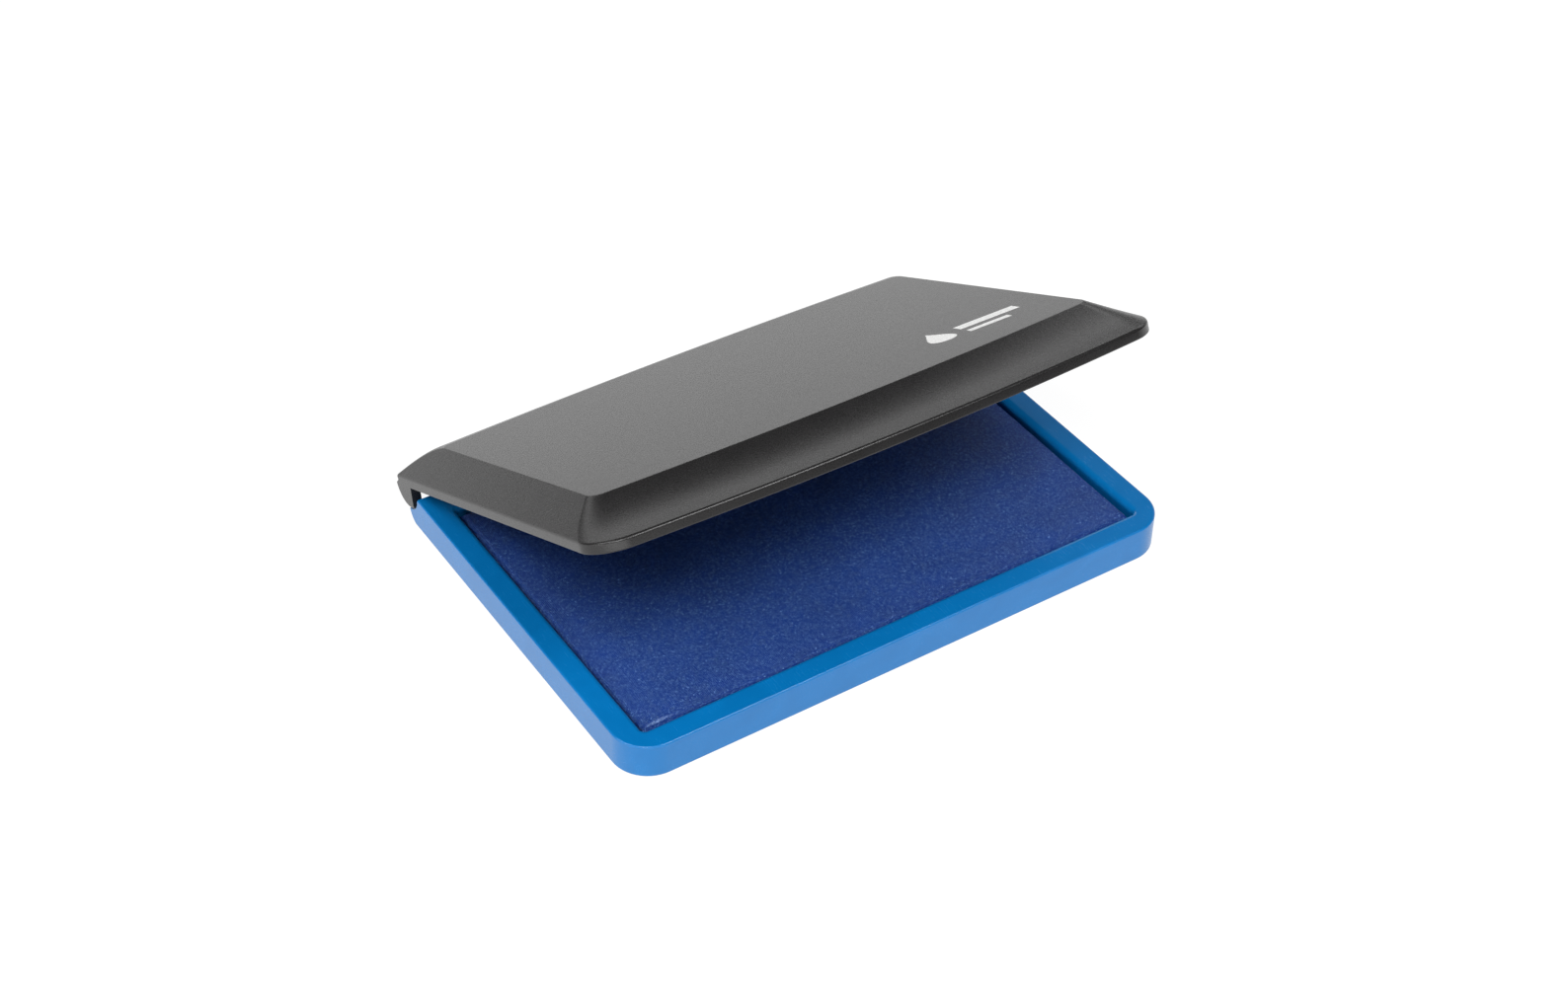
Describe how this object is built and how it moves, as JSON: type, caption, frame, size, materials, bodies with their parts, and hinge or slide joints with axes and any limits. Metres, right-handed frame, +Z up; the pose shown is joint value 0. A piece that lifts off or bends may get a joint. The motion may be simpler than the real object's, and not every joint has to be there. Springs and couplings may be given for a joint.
{
  "type": "ink pad",
  "caption": "Hinged ink pad: a shallow tray holding a cloth-covered felt pad for inking stamps, with a bevelled lid on two rear hinge pins that opens until it lies flat.",
  "frame": {"origin": "centre of the tray's flat underside, where it rests on the table; front to back it is the middle of the tray's top face", "axes": "+X along the hinge, to the right seen from the front; +Y towards the hinge side; +Z up, out of the pad's face"},
  "size_m": [0.1222, 0.0922, 0.0508],
  "materials": {
    "tray_plastic": "satin moulded plastic, bright blue",
    "lid_plastic": "fine spark-textured moulded plastic, dark grey",
    "pin_steel": "drawn steel wire",
    "tape": "double-sided tape",
    "backing_plastic": "plain sheet",
    "felt": "ink-soaked felt",
    "inked_cloth": "finely woven cloth wet with blue ink"
  },
  "bodies": {
    "tray": {"tray": "tray_plastic", "pad_tape_front": "tape", "pad_tape_rear": "tape", "pad_backing_plate": "backing_plastic", "pad_felt": "felt", "pad_cloth": "inked_cloth"},
    "lid": {"lid": "lid_plastic", "hinge_pin_left": "pin_steel", "hinge_pin_right": "pin_steel"}
  },
  "joints": [
    {"name": "lid_hinge", "type": "hinge", "parent": "tray", "child": "lid", "pos_m": [0, 0.0464, 0.00765], "axis": [-1, 0, 0], "range_deg": [-26.7, 153]}
  ]
}
